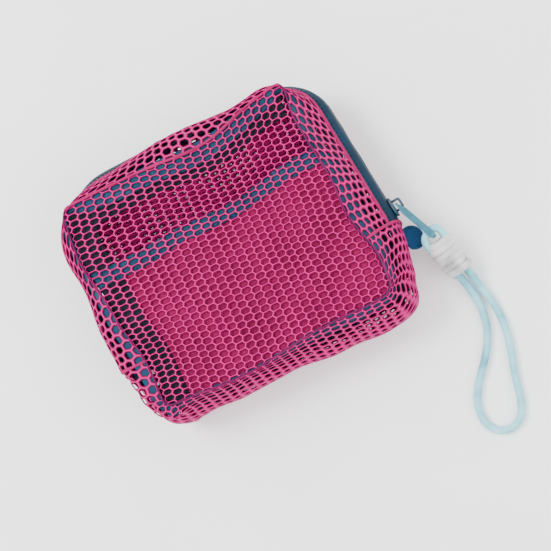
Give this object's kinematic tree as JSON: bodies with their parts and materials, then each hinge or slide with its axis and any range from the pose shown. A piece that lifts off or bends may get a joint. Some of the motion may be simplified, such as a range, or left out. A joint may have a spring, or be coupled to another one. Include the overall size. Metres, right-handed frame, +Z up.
{
  "type": "mesh zip pouch",
  "caption": "Boxy zip pouch of coarse hexagonal mesh with taped seams, an inner slip pocket, and a cord lanyard on its zip pull.",
  "frame": {"origin": "centre of the back panel's outer face, which the pouch lies on", "axes": "+Z up through the pouch's depth to the front panel, +Y towards the zipped top side, +X along the width towards the zip's slider"},
  "size_m": [0.1801, 0.2109, 0.046],
  "materials": {
    "mesh": "knitted hexagonal mesh, slight sheen",
    "pocket": "fine plain weave",
    "binding": "woven tape",
    "facing": "plain weave",
    "zip_tape": "woven tape",
    "zip_coil": "nylon coil",
    "end_tab": "smooth weave",
    "slider": "satin enamel",
    "pull": "satin enamel",
    "cord": "braided cord",
    "knot": "wound cord"
  },
  "bodies": {
    "bag": {"front_panel": "mesh", "back_panel": "mesh", "front_zip_gusset": "mesh", "back_zip_gusset": "mesh", "lower_gusset": "mesh", "front_zip_tape": "zip_tape", "back_zip_tape": "zip_tape", "front_zip_coil": "zip_coil", "back_zip_coil": "zip_coil", "zip_stop_right": "zip_coil", "zip_stop_left": "zip_coil", "zip_end_tab_right": "end_tab", "front_seam_binding": "binding", "back_seam_binding": "binding", "end_seam_binding_right": "binding", "end_seam_binding_left": "binding", "pocket_panel": "pocket", "pocket_top_binding": "binding", "seam_facing": "facing"},
    "slider": {"slider_body": "slider", "slider_bridge": "slider"},
    "pull": {"pull_tab": "pull"},
    "lanyard": {"lanyard_cord": "cord", "knot_wrap": "knot"}
  },
  "joints": [
    {"name": "slider_travel", "type": "slide", "parent": "bag", "child": "slider", "axis": [-0.051, 0.9987, 0], "range_m": [0, 0.052], "deforming": ["zip_end_tab_right"]},
    {"name": "pull_swing", "type": "hinge", "parent": "slider", "child": "pull", "pos_m": [0.08157, -0.01883, 0.023], "axis": [0, 0, 1], "range_deg": [0, 135]},
    {"name": "lanyard_lift", "type": "hinge", "parent": "pull", "child": "lanyard", "pos_m": [0.08868, -0.03795, 0.02013], "axis": [-0.9373, -0.3486, 0], "range_deg": [0, 95]}
  ]
}
